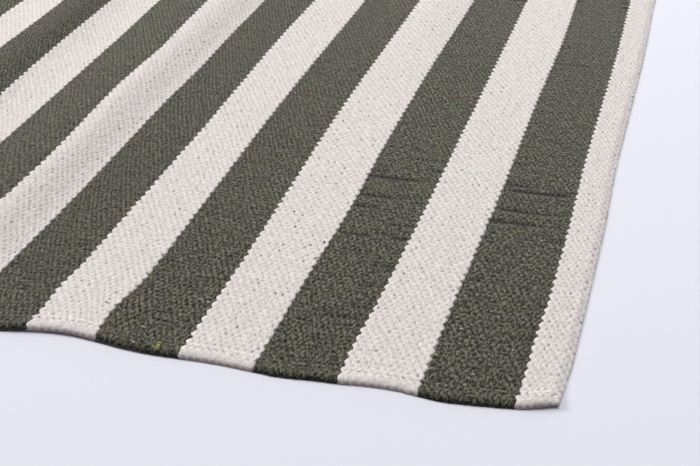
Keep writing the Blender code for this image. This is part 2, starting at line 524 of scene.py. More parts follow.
EDGES = yarn_edges()
float_height = FLOAT_HEIGHT_SPREAD * rng.standard_normal((COLUMNS, REPEATS + 1))
float_width = 1.0 + FLOAT_WIDTH_SPREAD * rng.standard_normal((COLUMNS, REPEATS + 1))
float_side = FLOAT_SIDE_SPREAD * rng.standard_normal((COLUMNS, REPEATS + 1))
is_loose = rng.random(2 * REPEATS + 2) < RIB_SHARE
rib_strength = np.where(is_loose, rng.uniform(WEAKEST_RIB, 1.0, 2 * REPEATS + 2), 0.0)
rib_phase = rng.uniform(0.0, 2.0 * pi, 2 * REPEATS + 2)
band_of_column = np.repeat(np.arange(len(BANDS)), [band.columns for band in BANDS])
rib_of_band = np.array([RIB_ON_DARK if band.slot == "dark_cotton" else RIB_ON_CREAM for band in BANDS])
rib_of_band[RIBBED_BANDS] = 1.0
yarn_widths = 1000 * np.diff(EDGES)
print("yarns are", round(yarn_widths.min(), 2), "to", round(yarn_widths.max(), 2), "mm wide")

# %% [markdown]
# The path of the cloth
#
# Going along the cloth, a yarn comes up round the folded hem, runs over the top, and goes down round the
# far hem. `path` measures that way. At each end it drops in a quarter of an ellipse to a steep foot, and
# between them it follows the top, which is thicker over the hem and thins towards the selvedges. Every
# yarn has four mesh rows in a repeat, and eight where it bends round the hem.

# %% Rows along the path
ROWS_A_REPEAT = 4
HEM_ROWS_A_REPEAT = 8
HEM_REPEATS = 2
STITCH_TO_EDGE = 0.0005
STITCH_LINE = HEM_DEPTH - STITCH_TO_EDGE
STITCH_GROOVE = 0.0006
GROOVE_REACH = 0.0016
SELVEDGE_THINNING = 0.0015
SELVEDGE_SLOPE = 0.0060
HEM_THINNING = 0.0014
HEM_SIDE_SLOPE = 0.0100


def row_repeats():
    """The rows, counted in repeats from the near end of the path."""
    near = np.arange(0, HEM_REPEATS * HEM_ROWS_A_REPEAT) / HEM_ROWS_A_REPEAT
    first = HEM_REPEATS * ROWS_A_REPEAT
    last = (REPEATS - HEM_REPEATS) * ROWS_A_REPEAT
    middle = np.arange(first, last + 1) / ROWS_A_REPEAT
    return np.concatenate([near, middle, REPEATS - near[::-1]])


def top_lift(across, along):
    """How far the top is above the underside: thick at the hem, easing to the cloth, with the sewn groove.
    Both ease to a thinner edge at each selvedge."""
    from_end = np.minimum(along, LENGTH - along)
    from_side = np.minimum(across, WIDTH - across)
    cloth = THICKNESS - SELVEDGE_THINNING * (1.0 - smooth_step(from_side, 0.0, SELVEDGE_SLOPE))
    hem = HEM_THICKNESS - HEM_THINNING * (1.0 - smooth_step(from_side, 0.0, HEM_SIDE_SLOPE))
    thick = hem + (cloth - hem) * smooth_step(from_end, HEM_DEPTH, HEM_DEPTH + HEM_SLOPE)
    return thick - STITCH_GROOVE * hump((from_end - STITCH_LINE) / GROOVE_REACH)


ROWS = row_repeats()
print(len(ROWS), "rows along the path")

# %% [markdown]
# The mesh has a line on every edge between two yarns and a line on every yarn's crown. Where a yarn
# floats, its crown is high and its two edges lie far apart. Where it dips, the crown is low and the edges
# nearly meet, so each float is a long lens. The floats lean a little, because the yarn is twisted.

# %% Relief of the weave
SIDE_DROP = 0.00038
DIP_DROP = 0.00100
DIP_SHARPNESS = 2.2
EDGE_SWING = 0.30
STRIPE_SWING = 0.50
FLOAT_LEAN = 0.00030
RIB_DROP = 0.00085
RIB_PAINTED_SHADE = 1.05
FOLD_SHADE_FROM = 0.28
FOLD_SHADE_TO = 0.56
FOLD_SCALLOP = 0.0013
FOLD_CALM = 0.50
CREAM_RELIEF = 0.28
# the depth on the edges between yarns and on the underside, which the material paints as a faint shade
EDGE_DEPTH = 0.3
LINES = 2 * COLUMNS + 1
line_column = np.arange(LINES) // 2
is_crown = np.arange(LINES) % 2 == 1
relief_of_band = np.array([1.0 if band.slot == "dark_cotton" else CREAM_RELIEF for band in BANDS])
relief_of_column = relief_of_band[band_of_column]


def phase(column, repeats):
    """The angle along a yarn: 0 in the middle of its float and half a turn in the middle of its dip."""
    return 2.0 * pi * (repeats - 0.5 * (column % 2))


def float_number(column, repeats):
    return np.round(repeats - 0.5 * (column % 2)).astype(int).clip(0, REPEATS)


def rib_share(column, across, repeats):
    """How loose the pick under a point is, from 0 to 1: by chance, fading in and out across the cloth, and
    by the table, a hump across times a hump along."""
    pick = np.floor(2.0 * repeats + 0.5).astype(int).clip(0, 2 * REPEATS + 1)
    window = np.clip(np.sin(2.0 * pi * across / RIB_WAVE_LENGTH + rib_phase[pick]) + RIB_OVERLAP, 0.0, 1.0)
    chance = rib_strength[pick] * window * rib_of_band[band_of_column[column]]
    along = repeats * REPEAT - CURL_LENGTH + CURL_REACH
    known = sum(
        rib.looseness * hump((across - rib.across) / rib.reach) * hump((along - rib.along) / RIB_REACH)
        for rib in RIBS
    )
    return np.clip(chance + known, 0.0, 1.0)


def end_distance(repeats):
    """The distance along the path to its nearer end."""
    return np.minimum(repeats, REPEATS - repeats) * REPEAT


def fold_painted_shade_share(repeats, dip):
    """Painted shade on a hem's fold: 0 on the top, and 1 on its lower half,
    reaching further up where a yarn dips.
    """
    from_end = end_distance(repeats) - FOLD_SCALLOP * dip
    return 1.0 - smooth_step(from_end, FOLD_SHADE_FROM * CURL_LENGTH, FOLD_SHADE_TO * CURL_LENGTH)


def calm(repeats):
    """1 on the cloth, and less round the fold, where the yarns are stretched and dip less."""
    shade = smooth_step(end_distance(repeats), CURL_LENGTH, CURL_LENGTH + HEM_DEPTH / 2)
    return 1.0 - FOLD_CALM * (1.0 - shade)


def woven_lines(repeats):
    """For rows at these repeats: each line's distance across, its drop below the smooth top, and its depth,
    which goes from 0 on a float to 1 in a dip, with 1 more on the fold. The material paints shade by this
    depth."""
    rows = repeats[:, None]
    column = np.minimum(line_column, COLUMNS - 1)[None, :]
    before = np.maximum(column - 1, 0)
    width = np.diff(EDGES)

    # crowns: a cosine, raised to a power so that the float is long and the dip short
    number = float_number(column, rows)
    dip = (0.5 - 0.5 * np.cos(phase(column, rows))) ** DIP_SHARPNESS * calm(rows)
    crown_across = (EDGES[column] + EDGES[column + 1]) / 2
    crown_across = crown_across + FLOAT_LEAN * np.sin(phase(column, rows)) + float_side[column, number]
    crown_drop = relief_of_column[column] * (DIP_DROP * dip - float_height[column, number])

    # edges, moved away from whichever neighbour floats
    floats = np.where(np.cos(phase(before, rows)) > np.cos(phase(column, rows)), before, column)
    float_no = float_number(floats, rows)
    side = np.where(floats == before, 1.0, -1.0)
    share = np.abs(np.cos(phase(column, rows)))
    is_stripe_edge = band_of_column[before] != band_of_column[column]
    reach = np.where(is_stripe_edge, STRIPE_SWING, EDGE_SWING) * (width[before] + width[column]) / 2
    swing = reach * float_width[floats, float_no]
    edge_across = EDGES[column] + side * swing * share * calm(rows) + float_side[floats, float_no]
    relief = (relief_of_column[column] + relief_of_column[before]) / 2
    edge_drop = relief * SIDE_DROP - 0.5 * float_height[floats, float_no]

    across = np.where(is_crown, crown_across, edge_across)
    across[:, 0] = 0.0
    across[:, -1] = WIDTH
    ribs = rib_share(column, across, rows)
    drop = np.where(is_crown, crown_drop, edge_drop) + RIB_DROP * ribs
    dip = np.where(is_crown, dip, EDGE_DEPTH)
    # a loose rib also raises the depth, so shade is painted along it
    return across, drop, np.maximum(dip, RIB_PAINTED_SHADE * ribs) + fold_painted_shade_share(rows, dip)


across, drop, depth = woven_lines(ROWS)
print("the weave is", round(1000 * (drop.max() - drop.min()), 2), "mm deep")

# %% [markdown]
# Each point now goes where it belongs. The top is the underside's point, lifted along the cloth's own
# upward direction. At a hem the point turns from that direction to the outward one, round a quarter of an
# ellipse, and then comes down steeply, because the fold is pressed to the floor. The selvedges are
# rounded by drawing the top and the underside together over the last millimetre and a half.

# %% The woven top
DIRECTION_STEP = 0.0005
SELVEDGE_ROUNDING = 0.94
FOLD_FOOT = 0.10
FOLD_FLARE = 0.16


def unit(vectors):
    return vectors / np.linalg.norm(vectors, axis=-1, keepdims=True)


def cloth_directions(across, along):
    """The upward and the lengthwise unit vector of the cloth, from differences over a small step."""
    sideways = cloth_point(across + DIRECTION_STEP, along) - cloth_point(across - DIRECTION_STEP, along)
    ahead = cloth_point(across, along + DIRECTION_STEP) - cloth_point(across, along - DIRECTION_STEP)
    return unit(np.cross(ahead, sideways)), unit(ahead)


def edge_roundness(across, thickness):
    """1 inside the cloth, and less on a half circle at each selvedge."""
    reach = thickness / 2
    inside = np.clip(np.minimum(across, WIDTH - across) / reach, 0.0, 1.0)
    return np.sqrt(1.0 - SELVEDGE_ROUNDING * (1.0 - inside) ** 2)


def path_points(repeats, across, drop):
    """The points of the top at these rows and lines, the folded hems included."""
    path = np.broadcast_to((repeats * REPEAT)[:, None], across.shape)
    from_end = np.minimum(path, PATH_LENGTH - path)
    towards = np.where(path < PATH_LENGTH / 2, -1.0, 1.0)
    turn = np.clip(pi * from_end / CURL_LENGTH, 0.0, pi) - pi / 2
    along = np.clip(path - CURL_LENGTH + CURL_REACH, CURL_REACH, LENGTH - CURL_REACH)
    drop = drop * smooth_step(from_end, 0.0, CURL_LENGTH / 2)

    lift = top_lift(across, along)
    middle = lift / 2
    round_off = edge_roundness(across, lift)
    radius = np.maximum(middle - drop * round_off, 0.0)
    up, ahead = cloth_directions(across, along)
    rise = middle + np.where(turn < pi / 2, radius * np.sin(turn), middle - drop) * round_off
    bulge = np.maximum(np.cos(turn), 0.0) ** np.where(turn < 0.0, FOLD_FOOT, 1.0)
    bulge = bulge * (1.0 + FOLD_FLARE * np.maximum(-np.sin(turn), 0.0))
    outwards = towards * radius * (CURL_REACH / CURL_RADIUS) * bulge * (turn < pi / 2)
    return cloth_point(across, along) + CENTRING + up * rise[..., None] + ahead * outwards[..., None]


top_points = path_points(ROWS, across, drop)
print("the woven top has", top_points.shape[0] * top_points.shape[1], "points")

# %% [markdown]
# The underside lies flat on the floor between the waves. At each end it is the folded flap, with its raw
# edge a little off the floor, and then the cloth itself.

# %% The underside
RAW_EDGE_LIFT = 0.0011
RAW_EDGE_DROP = 0.0004
RAW_EDGE_REACH = 0.0015
FLAP_REACH = 0.0050
FIRST_LOW_ROW = 0.006
UNDERSIDE_PITCH = 0.045
HEM_PITCH = 0.015
HEM_ZONE = 0.120


def underside_rows():
    """The underside's rows along the cloth, closest near the hems, and how far each is off the floor."""
    near = [FIRST_LOW_ROW, HEM_DEPTH]
    near += [HEM_DEPTH + step for step in (RAW_EDGE_DROP, RAW_EDGE_REACH, FLAP_REACH)]
    near += list(np.arange(HEM_DEPTH + FLAP_REACH + HEM_PITCH, HEM_ZONE, HEM_PITCH))
    middle_count = round((LENGTH - 2 * HEM_ZONE) / UNDERSIDE_PITCH) + 1
    middle = np.linspace(HEM_ZONE, LENGTH - HEM_ZONE, middle_count)
    rows = np.concatenate([near, middle, LENGTH - np.array(near[::-1])])
    from_end = np.minimum(rows, LENGTH - rows)
    is_recess = (from_end > HEM_DEPTH + RAW_EDGE_DROP / 2) & (from_end < HEM_DEPTH + RAW_EDGE_REACH * 1.1)
    return rows, np.where(is_recess, RAW_EDGE_LIFT, 0.0)


low_rows, low_lifts = underside_rows()
low_repeats = (low_rows - CURL_REACH + CURL_LENGTH) / REPEAT
line_across = np.interp(np.arange(LINES) / 2, np.arange(COLUMNS + 1), EDGES)
low_across = np.broadcast_to(line_across, (len(low_rows), LINES))
low_along = np.broadcast_to(low_rows[:, None], low_across.shape)
low_middle = top_lift(low_across, low_along) / 2
low_rise = low_middle + (low_lifts[:, None] - low_middle) * edge_roundness(low_across, 2 * low_middle)
low_up, _ = cloth_directions(low_across, low_along)
low_points = cloth_point(low_across, low_along) + CENTRING + low_up * low_rise[..., None]
print("the underside has", low_points.shape[0] * low_points.shape[1], "points")

# %% [markdown]
# From points to bands
#
# Each stripe becomes one closed mesh: its part of the top, its part of the underside, and a wall at each
# side, where it meets its neighbour. Neighbours share the same wavy line of points, so no gap shows
# between them. The walls join many top points to few bottom points, so their triangles are laid out like
# the teeth of a zip.

# %% Triangles
def grid_triangles(index, upwards):
    """Two triangles for each cell of a grid of point numbers, with diagonals mirrored on every crown."""
    a, b, c, d = index[:-1, :-1], index[1:, :-1], index[1:, 1:], index[:-1, 1:]
    is_left = (np.arange(a.shape[1]) % 2 == 0)[None, :, None]
    one = np.where(is_left, np.stack([a, b, c], -1), np.stack([a, b, d], -1))
    two = np.where(is_left, np.stack([a, c, d], -1), np.stack([b, c, d], -1))
    triangles = np.stack([one, two], axis=2).reshape(-1, 3)
    return triangles if upwards else triangles[:, ::-1]


def zip_triangles(top_place, low_place):
    """Which two rows of the top and of the underside each wall triangle joins, going along both at once."""
    steps = np.concatenate([top_place[1:], low_place[1:]])
    is_top = np.arange(len(steps)) < len(top_place) - 1
    order = np.argsort(steps, kind="stable")
    is_top = is_top[order]
    top_before = np.concatenate([[0], np.cumsum(is_top)[:-1]])
    low_before = np.concatenate([[0], np.cumsum(~is_top)[:-1]])
    return is_top, top_before, low_before


top_place = ROWS * REPEAT - CURL_LENGTH + CURL_REACH
low_place = np.concatenate([[CURL_REACH], low_rows, [LENGTH - CURL_REACH]])
zip_is_top, zip_top, zip_low = zip_triangles(top_place, low_place)
print("each wall has", len(zip_top) - 2, "triangles")

# %% [markdown]
# The bands carry their own map for baking. A band is long and narrow, so its top is cut into
# five lengths that lie side by side, with the underside and the two walls beside them.

# %% The bands' map
MAP_LENGTHS = 5
MAP_TOP_SHARE = 0.80
MAP_GAP = 0.003
MAP_LOW = (0.815, 0.965)
MAP_WALLS = ((0.972, 0.981), (0.987, 0.996))


def inset(value):
    """A share from 0 to 1, kept a small gap away from both."""
    return MAP_GAP + value * (1.0 - 2.0 * MAP_GAP)


def top_map(path_share, side_share, face_share):
    """The map place of corners on the top, in the length that the middle of their face belongs to."""
    length = np.clip(np.floor(face_share * MAP_LENGTHS), 0, MAP_LENGTHS - 1)
    strip = MAP_TOP_SHARE / MAP_LENGTHS
    u = strip * length + MAP_GAP + side_share * (strip - 2.0 * MAP_GAP)
    return np.stack([u, inset(path_share * MAP_LENGTHS - length)], axis=-1)


def strip_map(strip, along_share, side_share):
    u = strip[0] + side_share * (strip[1] - strip[0])
    return np.stack([u, inset(along_share)], axis=-1)


print("the top takes", MAP_TOP_SHARE, "of the map")

# %% [markdown]
# A wall's two ends meet the top's first and last points, so its first and last triangle would have no
# area. They are left out. Everything is smooth but the walls, which would otherwise spoil the shading
# along the stripes.

# %% One band
def band_object(band, first_line):
    """A closed woven band, with its weave counted in yarns and repeats, and with its map."""
    lines = slice(first_line, first_line + 2 * band.columns + 1)
    top, low = top_points[:, lines], low_points[:, lines]
    rows, count = top.shape[:2]
    top_index = np.arange(rows * count).reshape(rows, count)
    inner_index = rows * count + np.arange(len(low) * count).reshape(len(low), count)
    low_index = np.vstack([top_index[:1], inner_index, top_index[-1:]])

    # walls at the right and the left of the band
    keep = slice(1, -1)
    third = np.where(zip_is_top, zip_top + 1, zip_top)
    is_top, t, b, t_after = zip_is_top[keep], zip_top[keep], zip_low[keep], third[keep]
    walls = []
    wall_places = []
    for line, order in ((0, slice(None)), (count - 1, slice(None, None, -1))):
        top_line, low_line = top_index[:, line], low_index[:, line]
        b_after = np.minimum(b + 1, len(low_line) - 1)
        second = np.where(is_top, top_line[t_after], low_line[b_after])
        walls.append(np.stack([low_line[b], second, top_line[t]], -1)[:, order])
        second_place = np.where(is_top, top_place[t_after], low_place[b_after])
        place = np.stack([low_place[b], second_place, top_place[t]], -1)
        side = np.stack([np.zeros(len(b)), np.where(is_top, 1.0, 0.0), np.ones(len(b))], -1)
        share = (place + CURL_LENGTH) / (LENGTH + 2 * CURL_LENGTH)
        wall_places.append(strip_map(MAP_WALLS[0 if line == 0 else 1], share, side)[:, order])

    top_faces = grid_triangles(top_index, True)
    low_faces = grid_triangles(low_index, False)
    faces = np.concatenate([top_faces, low_faces, *walls])

    # the map
    side_share = np.tile(np.linspace(0.0, 1.0, count), rows)
    path_share = np.repeat(ROWS / REPEATS, count)
    corner_path = path_share[top_faces]
    top_uv = top_map(corner_path, side_share[top_faces], corner_path.mean(axis=1, keepdims=True))
    low_row = np.repeat(np.arange(len(low_index)), count).reshape(low_index.shape)
    low_share = np.zeros(rows * count + len(low) * count)
    low_side = np.zeros_like(low_share)
    low_share[low_index.ravel()] = (low_place / LENGTH)[low_row.ravel()]
    low_side[low_index.ravel()] = np.tile(np.linspace(0.0, 1.0, count), len(low_index))
    low_uv = strip_map(MAP_LOW, low_share[low_faces], low_side[low_faces])
    uv = np.concatenate([corners.reshape(-1, 2) for corners in (top_uv, low_uv, *wall_places)])

    mesh = bpy.data.meshes.new(band.name)
    mesh.from_pydata(np.concatenate([top.reshape(-1, 3), low.reshape(-1, 3)]), [], faces)
    smooth = np.arange(len(faces)) < len(top_faces) + len(low_faces)
    mesh.polygons.foreach_set("use_smooth", smooth)
    layer = mesh.uv_layers.new(name="OFBake")
    layer.uv.foreach_set("vector", uv.astype(np.float32).ravel())

    # the weave, for the material, whose depth sets where shade is painted
    yarn = np.arange(LINES)[lines] / 2
    top_weave = np.stack(np.broadcast_arrays(yarn[None, :], ROWS[:, None], depth[:, lines]), -1)
    low_weave = np.stack(np.broadcast_arrays(yarn[None, :], low_repeats[:, None], EDGE_DEPTH), -1)
    weave = np.concatenate([top_weave.reshape(-1, 3), low_weave.reshape(-1, 3)]).astype(np.float32)
    mesh.attributes.new("weave", "FLOAT_VECTOR", "POINT").data.foreach_set("vector", weave.ravel())
    beneath = (np.arange(len(weave)) >= rows * count).astype(np.float32)
    mesh.attributes.new("beneath", "FLOAT", "POINT").data.foreach_set("value", beneath)
    mesh.update()
    band_piece = bpy.data.objects.new(band.name, mesh)
    bpy.context.collection.objects.link(band_piece)
    return band_piece


band_pieces = []
first_line = 0
for band in BANDS:
    band_pieces.append(band_object(band, first_line))
    first_line += 2 * band.columns
print("bands:", len(band_pieces), "triangles:", sum(len(piece.data.polygons) for piece in band_pieces))

# %% [markdown]
# Cotton
#
# The yarn is spun from reclaimed cotton, so it is heathered: every float has a slightly different colour,
# whole patches lean towards another tint, and stray fibres of other colours are spun in. The same
# function makes both cottons. It reads the weave's own count of yarns and repeats for what changes from
# float to float, and object coordinates for the patches and the stray fibres. It also paints shade into
# the colour: darker in the dips between floats, in the grooves between plies, along loose ribs and on the
# lower half of the hem's fold.

# %% Cotton material
# in a cotton, shade is the painted shade of the dips between floats, and fold the painted shade on the hem's
# front
COTTON_COLOURS = "slot tint_one tint_two shade fold fleck"
COTTON_AMOUNTS = "floats plies fibres patch pit relief sheen"
Cotton = namedtuple("Cotton", COTTON_COLOURS + " " + COTTON_AMOUNTS)
COTTONS = (
    Cotton(
        slot="cream_cotton",
        tint_one=(0.785, 0.714, 0.692, 1.0),
        tint_two=(0.772, 0.724, 0.686, 1.0),
        shade=(0.45, 0.33, 0.30, 1.0),
        fold=(0.37, 0.27, 0.24, 1.0),
        fleck=(0.30, 0.22, 0.18, 1.0),
        floats=0.05,
        plies=0.10,
        fibres=0.20,
        patch=0.6,
        pit=0.60,
        relief=0.4,
        sheen=0.03,
    ),
    Cotton(
        slot="dark_cotton",
        tint_one=(0.075, 0.071, 0.041, 1.0),
        tint_two=(0.077, 0.068, 0.048, 1.0),
        shade=(0.014, 0.012, 0.009, 1.0),
        fold=(0.048, 0.044, 0.040, 1.0),
        fleck=(0.42, 0.42, 0.36, 1.0),
        floats=0.35,
        plies=0.8,
        fibres=2.6,
        patch=0.8,
        pit=0.95,
        relief=1.0,
        sheen=0.36,
    ),
)
COTTON_ROUGHNESS = 0.9
SHEEN_ROUGHNESS = 0.45
SHEEN_TINT = (0.95, 0.92, 0.85)
PATCH_SCALE = 60.0
GRAINS_ACROSS = 1.3
GRAINS_ALONG = 2.6
PLIES = 2.0
PLY_SLANT = -1.6
PLY_HEIGHT = 0.00025
FIBRE_HEIGHT = 0.00012
WEAVE_HEIGHT = 0.0006
RELIEF_STRENGTH = 0.8
PATCH_GAIN = 4.0
FLOAT_TINT = 0.6
PLY_SHADE = 0.4
DARKEST = 0.10
FIBRE_BAND = (0.39, 0.61)
FOLD_PAINTED_SHADE_BAND = (0.9, 1.3)
PAINTED_PIT_SHADE_BAND = (0.22, 0.85)
FOLD_PAINTED_SHADE_COVER = 0.9
FLECK_SCALE = 210.0
FLECK_SIZE = 0.16
FLECK_SOFTNESS = 0.7
FLECK_CHOICE = (0.930, 0.940)
FLECK_COVER = 0.8


def cotton_material(cotton):
    material, shader, tree = new_material(
        cotton.slot, COTTON_ROUGHNESS, cotton.sheen, SHEEN_ROUGHNESS, SHEEN_TINT
    )
    weave = tree.node("ShaderNodeAttribute", {"attribute_name": "weave"}, None, "Vector")
    yarn, repeat, depth = (weave.node("ShaderNodeSeparateXYZ", None, {0: weave}, axis) for axis in "XYZ")
    beneath = tree.node("ShaderNodeAttribute", {"attribute_name": "beneath"}, None, "Fac")
    place = tree.node("ShaderNodeTexCoord", None, None, "Object")

    # which yarn, which float and which ply this is
    column = yarn.floor()
    odd = column - 2.0 * (column / 2.0).floor()
    shifted = repeat - 0.5 * odd
    number = (shifted + 0.5).floor()
    turned = (yarn - column) * PLIES + shifted * PLY_SLANT
    ply = turned.floor()
    float_luck = column.combined(number, 0.5).luck()
    tint_luck = column.combined(number, 7.5).luck()
    ply_luck = column.combined(number, ply + 20.0).luck()
    roundness = 1.0 - ((turned - ply) * 2.0 - 1.0) ** 2.0
    fibre = (yarn * GRAINS_ACROSS).combined(repeat * GRAINS_ALONG, 0.0).noise(1.0, 2.0, 0.65)
    fibre = fibre.between(*FIBRE_BAND) - 0.5

    # colour, with shade painted into the dips, the ply grooves, the loose ribs and the hem's fold
    patches = place.noise(PATCH_SCALE, 2.0, 0.5) - 0.5
    own_tint = (tint_luck - 0.5) * (FLOAT_TINT * cotton.patch)
    tint = (patches * (PATCH_GAIN * cotton.patch) + own_tint + 0.5).between(0.0, 1.0)
    colour = tree.colour(cotton.tint_two).mixed(cotton.tint_one, tint)
    level = 1.0 + (float_luck - 0.5) * cotton.floats + (ply_luck - 0.5) * cotton.plies
    level = level + fibre * cotton.fibres
    # painted shade in the grooves between the plies
    groove = (1.0 - roundness) * (PLY_SHADE * cotton.plies)
    level = (level * (1.0 - groove)).maths("MAXIMUM", DARKEST)
    # the front of the hem's fold lies in shade, and the fold colour paints that shade
    fold = depth.between(*FOLD_PAINTED_SHADE_BAND)
    # painted shade in the dips between floats and along loose ribs, mixed in with the shade colour
    painted_pit_shade = depth.between(*PAINTED_PIT_SHADE_BAND) * (1.0 - fold)
    colour = colour.times(level).mixed(cotton.shade, painted_pit_shade * cotton.pit)
    # painted shade on the lower half of the hem's fold
    colour = colour.mixed(tree.colour(cotton.fold).times(level), fold * FOLD_PAINTED_SHADE_COVER)

    # flecks of other fibres
    dots = {"Vector": place, "Scale": FLECK_SCALE}
    dot_distance = place.node("ShaderNodeTexVoronoi", None, dots, "Distance")
    dot_colour = place.node("ShaderNodeTexVoronoi", None, dots, "Color")
    chosen = dot_colour.node("ShaderNodeSeparateXYZ", None, {0: dot_colour}, "X").between(*FLECK_CHOICE)
    fleck = chosen * (1.0 - dot_distance.between(FLECK_SIZE * FLECK_SOFTNESS, FLECK_SIZE))
    colour = colour.mixed(cotton.fleck, fleck * FLECK_COVER)
    plug(colour, shader, "Base Color")

    # relief: plies and fibres on the floats, and on the underside the weave as well
    under = ((yarn * pi).sine() ** 2.0) * ((shifted * (2.0 * pi)).sine() * 0.5 + 0.5)
    height = roundness * (PLY_HEIGHT * cotton.relief) + fibre * FIBRE_HEIGHT
    height = height + beneath * under * WEAVE_HEIGHT
    plug(height.bump(RELIEF_STRENGTH), shader, "Normal")
    return material


cottons = {cotton.slot: cotton_material(cotton) for cotton in COTTONS}
for band, piece in zip(BANDS, band_pieces):
    piece.data.materials.append(cottons[band.slot])
print("cottons:", sorted(cottons))

# %% [markdown]
# The small things
#
# The hem is sewn down with a running stitch, a centimetre from the fold. Each stitch is a short piece of
# sewing thread that comes up through the cloth, crosses a few yarns and goes down again. One function
# carries a small ring along many short arcs at once, and so makes a whole row of stitches as one mesh.

# %% Short threads
THREAD_SIDES = 6
THREAD_STEPS = 5
THREAD_NARROWING = 0.35


def threads(name, centres, sideways, upwards, lengths, radii, heights):
    """Many short threads as one mesh: on each, a ring follows an arc whose ends go down into the cloth. The
    arc's height falls with the square of the distance from its middle, and its ring narrows at both ends."""
    share = np.linspace(-1.0, 1.0, THREAD_STEPS)
    angle = np.arange(THREAD_SIDES) * 2.0 * pi / THREAD_SIDES
    ahead = np.cross(upwards, sideways)
    side_step = lengths[:, None] / 2 * share
    height = heights[:, None] * (1.0 - 2.0 * share**2)
    spine = centres[:, None] + side_step[..., None] * sideways[:, None]
    spine = spine + height[..., None] * upwards[:, None]
    ring_radius = radii[:, None] * (1.0 - THREAD_NARROWING * share**2)
    ring = np.cos(angle)[:, None] * ahead[:, None, None] + np.sin(angle)[:, None] * upwards[:, None, None]
    points = spine[:, :, None] + ring_radius[..., None, None] * ring
    count = len(centres)
    index = np.arange(count * THREAD_STEPS * THREAD_SIDES).reshape(count, THREAD_STEPS, THREAD_SIDES)
    turned = np.roll(index, -1, axis=2)
    quads = np.stack([index[:, :-1], turned[:, :-1], turned[:, 1:], index[:, 1:]], -1).reshape(-1, 4)
    caps = np.concatenate([index[:, 0, ::-1], index[:, -1]])
    mesh = bpy.data.meshes.new(name)
    mesh.from_pydata(points.reshape(-1, 3), [], quads.tolist() + caps.tolist())
    mesh.polygons.foreach_set("use_smooth", np.arange(len(quads) + len(caps)) < len(quads))
    piece = bpy.data.objects.new(name, mesh)
    bpy.context.collection.objects.link(piece)
    return piece


print("a thread has", 2 * THREAD_SIDES * THREAD_STEPS - 4, "triangles")

# %% [markdown]
# The stitches are even, as a sewing machine makes them, but each lies a little askew, because the yarns
# under it push it aside.

# %% Hem stitches
STITCH_PITCH = 0.0043
STITCH_LENGTH = 0.0031
STITCH_RADIUS = 0.00024
STITCH_HEIGHT = 0.00040
STITCH_SINK = 0.00038
STITCH_FROM_SIDE = 0.003
STITCH_WANDER = 0.00015
STITCH_SLANT = 0.08
STITCH_SPREAD = 0.06


def cloth_top(across, along):
    """Points on the smooth top of the cloth, and the directions to the left and upwards there."""
    up, ahead = cloth_directions(across, along)
    points = cloth_point(across, along) + CENTRING + up * top_lift(across, along)[..., None]
    return points, unit(np.cross(up, ahead)), up


stitch_count = int((WIDTH - 2 * STITCH_FROM_SIDE) / STITCH_PITCH)
stitch_across = np.tile(STITCH_FROM_SIDE + STITCH_PITCH * (np.arange(stitch_count) + 0.5), 2)
stitch_along = np.repeat([STITCH_LINE, LENGTH - STITCH_LINE], stitch_count)
stitch_along = stitch_along + rng.normal(0.0, STITCH_WANDER, 2 * stitch_count)
stitch_centre, stitch_left, stitch_up = cloth_top(stitch_across, stitch_along)
stitch_ahead = np.cross(stitch_left, stitch_up)
askew = rng.normal(0.0, STITCH_SLANT, len(stitch_across))[:, None]
hem_stitches = threads(
    "hem_stitches",
    stitch_centre - STITCH_SINK * stitch_up,
    unit(stitch_left + askew * stitch_ahead),
    stitch_up,
    STITCH_LENGTH * rng.normal(1.0, STITCH_SPREAD, len(stitch_across)),
    STITCH_RADIUS * rng.normal(1.0, STITCH_SPREAD, len(stitch_across)),
    np.full(len(stitch_across), STITCH_HEIGHT),
)
print(len(stitch_across), "stitches")

# %% [markdown]
# A rug on a floor gathers lint. These few tufts are caught where the yarns cross, and each has its own
# colour, which its material reads from an attribute of the mesh.

